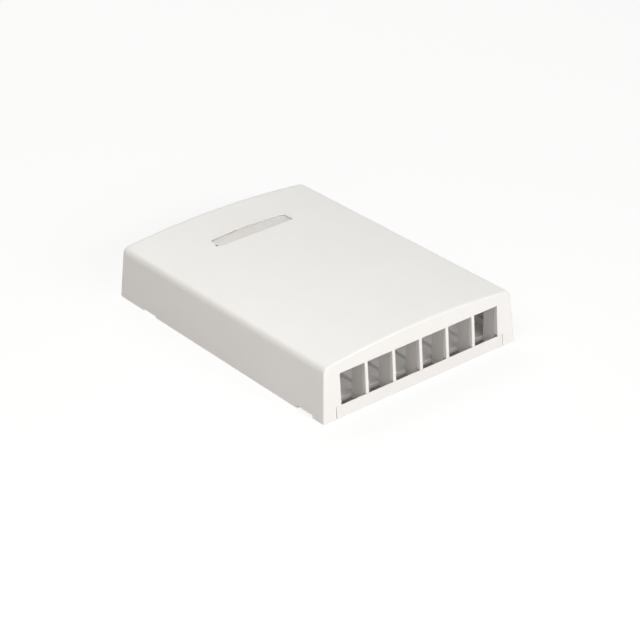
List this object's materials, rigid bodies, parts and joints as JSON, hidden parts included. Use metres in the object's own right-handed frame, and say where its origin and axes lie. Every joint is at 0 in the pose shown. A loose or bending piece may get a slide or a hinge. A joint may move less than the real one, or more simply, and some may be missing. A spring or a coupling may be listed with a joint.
{
  "type": "surface mount jack box",
  "caption": "Low surface mount jack box: screwed-down crowned cover over a moulded base, a row of open jack ports along the front and a label strip under a clear window.",
  "frame": {"origin": "middle of the box's footprint on the mounting surface", "axes": "+X across the box, +Y from the ports towards the cable entry, +Z away from the mounting surface"},
  "size_m": [0.119, 0.16, 0.0307],
  "materials": {
    "base_plastic": "satin moulded, white",
    "cover_plastic": "satin moulded, white",
    "label_paper": "uncoated card, pale grey",
    "window_plastic": "clear moulded plastic",
    "screw_steel": "zinc plated",
    "adhesive_foam": "foam tape, white"
  },
  "bodies": {
    "base": {"base": "base_plastic", "adhesive_pad_left": "adhesive_foam", "adhesive_pad_right": "adhesive_foam"},
    "cover": {"cover": "cover_plastic", "label_card": "label_paper", "cover_screw": "screw_steel"},
    "label_window": {"label_window": "window_plastic"}
  },
  "joints": [
    {"name": "cover_lift", "type": "slide", "parent": "base", "child": "cover", "axis": [0, 0, 1], "range_m": [0, 0.04]},
    {"name": "window_lift", "type": "slide", "parent": "cover", "child": "label_window", "axis": [0, 0, 1], "range_m": [0, 0.012]}
  ]
}
